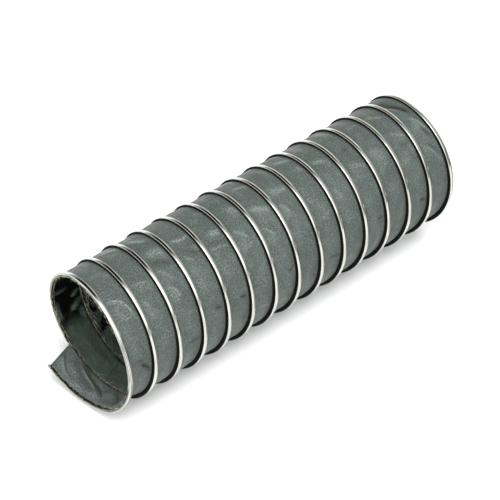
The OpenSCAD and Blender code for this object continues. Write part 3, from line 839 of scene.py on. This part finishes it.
# ---------------------------------------------------------------- floor, light, camera
fm = bpy.data.materials.new("floor")
n = Nodes(fm)
coord = n.add("ShaderNodeTexCoord").outputs["Object"]
tint = n.mix(n.ramp(n.noise(coord, 3.0, 2), 0.4, 0.6), (0.97, 0.97, 0.97, 1), (0.955, 0.955, 0.96, 1))
n.output(n.add("ShaderNodeBsdfPrincipled", {"Base Color": tint, "Roughness": 0.8, "Specular IOR Level": 0.1}).outputs[0])
s = 6000
floor = make_mesh("floor", [(-s, -s, 0), (s, -s, 0), (s, s, 0), (-s, s, 0)], [(0, 1, 2, 3)], (fm,), None, False)

scene = bpy.context.scene
world = bpy.data.worlds.new("studio")
scene.world = world
w = Nodes(world)
direction = w.add("ShaderNodeTexCoord").outputs["Generated"]


def lobe(vec, inner, outer):
    v = Vector(vec).normalized()
    dot = w.add("ShaderNodeVectorMath", {0: direction, 1: tuple(v)}, operation="DOT_PRODUCT").outputs["Value"]
    return w.ramp(dot, math.cos(math.radians(outer)), math.cos(math.radians(inner)))


# A bright room with a large lamp overhead in front, and dark panels behind and to the right.
axis = w.add("ShaderNodeSeparateXYZ", {0: direction}).outputs
sky = (1.27, 1.28, 1.29, 1)
grey = w.math("MULTIPLY", w.ramp(axis[1], 0.06, 0.34), w.ramp(axis[2], 0.03, 0.10))
left = w.ramp(axis[0], -0.62, -0.36)
strip = w.math("MULTIPLY", w.math("MULTIPLY", w.ramp(axis[0], 0.10, 0.24), w.ramp(axis[0], 0.64, 0.59)),
               w.math("MULTIPLY", w.ramp(axis[1], -0.16, 0.34), w.ramp(axis[2], 0.03, 0.10)))
right = w.math("MULTIPLY", w.ramp(axis[0], 0.48, 0.58), w.math("MULTIPLY", w.ramp(axis[2], -0.16, -0.10), w.ramp(axis[1], 0.42, 0.18)))
cream = w.math("MULTIPLY", w.ramp(axis[0], 0.59, 0.64), w.ramp(axis[1], 0.18, 0.42))
col = w.mix(lobe((0.25, -0.42, 0.86), 26, 50), sky, (1.80, 1.80, 1.78, 1))
front = w.math("MULTIPLY", w.ramp(axis[1], -0.40, -0.62), w.math("MULTIPLY", w.ramp(axis[2], 0.12, 0.17), w.ramp(axis[2], 0.46, 0.30)))
col = w.mix(front, col, (0.76, 0.76, 0.75, 1))
col = w.mix(w.math("MULTIPLY", w.math("MULTIPLY", grey, left), w.ramp(axis[0], 0.45, 0.30)), col,
            w.mix(w.ramp(axis[2], 0.36, 0.58), (0.76, 0.76, 0.74, 1), (0.44, 0.46, 0.45, 1)))
col = w.mix(cream, col, (0.86, 0.84, 0.72, 1))
col = w.mix(right, col, w.mix(w.ramp(axis[2], 0.05, 0.80, smooth=False), (0.05, 0.05, 0.05, 1), (0.60, 0.60, 0.59, 1)))
col = w.mix(strip, col, w.mix(w.ramp(axis[2], 0.14, 0.50), (0.38, 0.38, 0.36, 1), (0.02, 0.02, 0.025, 1)))
w.add("ShaderNodeOutputWorld", {0: w.add("ShaderNodeBackground", {0: col, 1: 1.4}).outputs[0]})


def softbox(name, where, size, power, colour=(1, 1, 1), at=(0, 0, 0.09)):
    light = bpy.data.lights.new(name, "AREA")
    light.shape = "RECTANGLE"
    light.size, light.size_y = size
    light.energy = power
    light.color = colour
    ob = bpy.data.objects.new(name, light)
    scene.collection.objects.link(ob)
    ob.location = where
    ob.rotation_euler = (Vector(at) - Vector(where)).to_track_quat("-Z", "Y").to_euler()
    ob.visible_camera = False
    return ob


softbox("key_overhead", (-0.15, -0.75, 2.35), (1.4, 1.4), 33)

cam = bpy.data.cameras.new("camera")
cam.lens, cam.sensor_width = 141.4708, 36
cam.clip_start, cam.clip_end = 0.05, 50
camera = bpy.data.objects.new("camera", cam)
scene.collection.objects.link(camera)
camera.matrix_world = Matrix(((0.74945355, 0.4356883, -0.49849281, -1.171372),
                              (-0.66205692, 0.49320252, -0.56429771, -1.316404),
                              (0.0, 0.75294554, 0.65808283, 1.616828),
                              (0, 0, 0, 1)))
scene.camera = camera
scene.view_settings.view_transform = "Standard"

# ---------------------------------------------------------------- what stands for what
for piece, node, slot in ((fabric, "fabric_strip", "coated_fabric"), (threads, "fabric_strip", "coated_fabric"),
                          (channel, "clamp_channel", "channel_steel")):
    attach(piece, "root")
    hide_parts(node)

bpy.context.view_layer.update()
